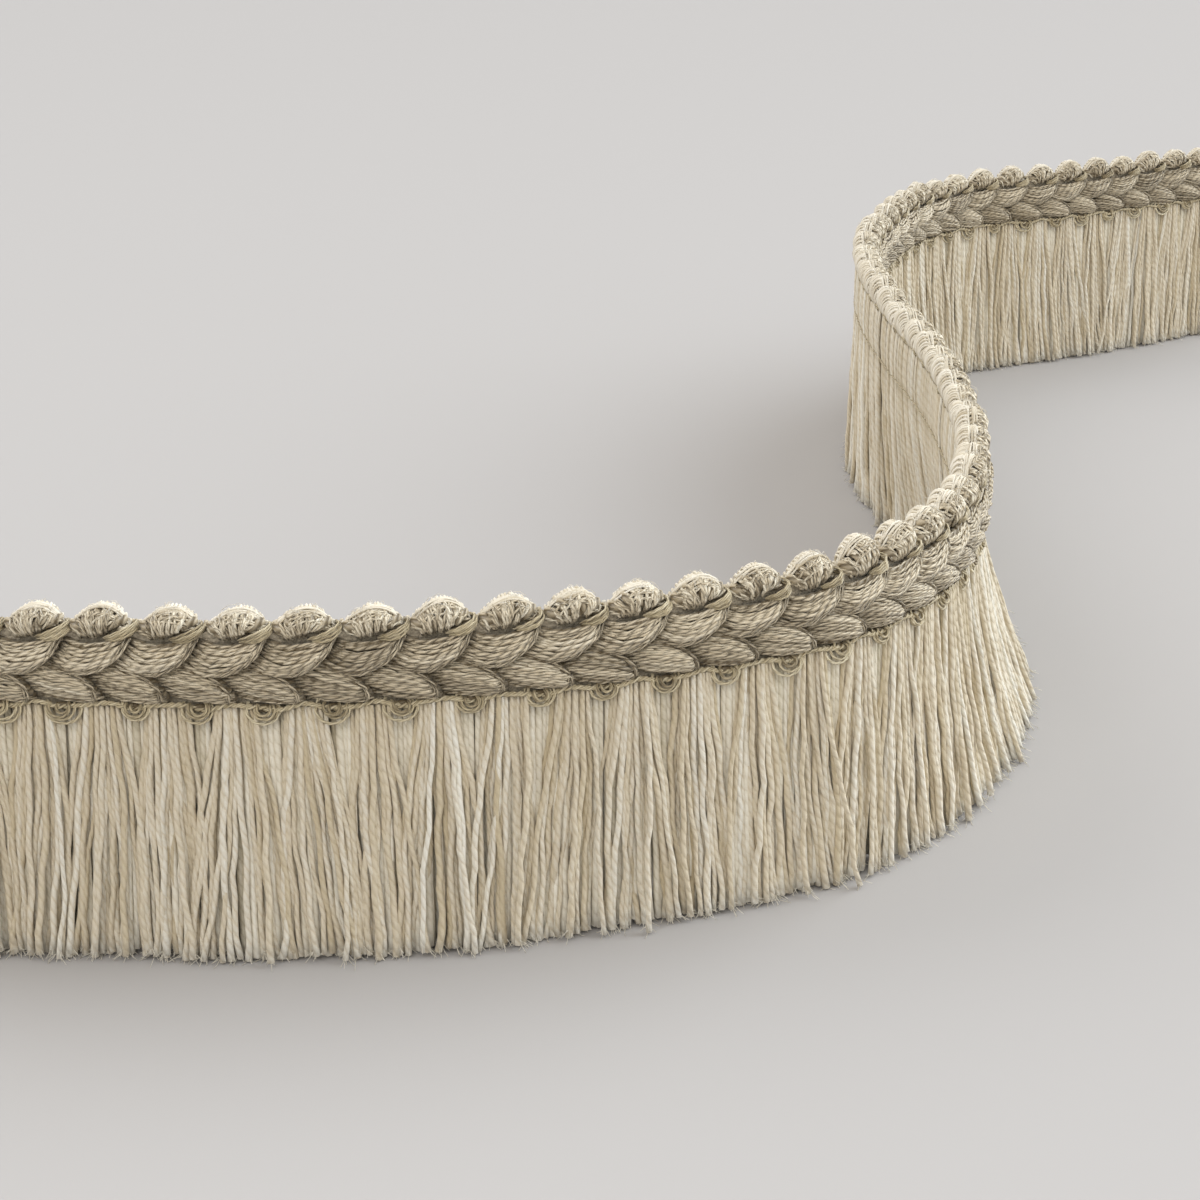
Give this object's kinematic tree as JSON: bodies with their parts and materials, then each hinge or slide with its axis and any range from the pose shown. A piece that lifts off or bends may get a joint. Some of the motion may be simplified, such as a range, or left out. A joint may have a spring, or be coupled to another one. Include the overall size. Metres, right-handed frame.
{
  "type": "brush fringe trim",
  "caption": "Cut length of cotton brush fringe with a plaited, knob-edged heading and a picot edging, standing on its cut ends in an S curve.",
  "frame": {"origin": "middle of the bounding box's base, on the surface that the cut ends of the fringe stand on", "axes": "+Z from the cut ends up to the knobs; +X along the front run of the S; +Y from the front run back to the rear run"},
  "size_m": [0.2046, 0.2643, 0.038],
  "materials": {
    "floss": "soft sheen",
    "gold_cord": "soft sheen",
    "cotton_yarn": "matt"
  },
  "bodies": {
    "root": {"heading": "floss", "picot_edging": "gold_cord", "skirt_01": "cotton_yarn", "skirt_02": "cotton_yarn", "skirt_03": "cotton_yarn", "skirt_04": "cotton_yarn", "skirt_05": "cotton_yarn", "skirt_06": "cotton_yarn", "skirt_07": "cotton_yarn", "skirt_08": "cotton_yarn", "skirt_09": "cotton_yarn", "skirt_10": "cotton_yarn", "skirt_11": "cotton_yarn", "skirt_12": "cotton_yarn"}
  },
  "joints": []
}
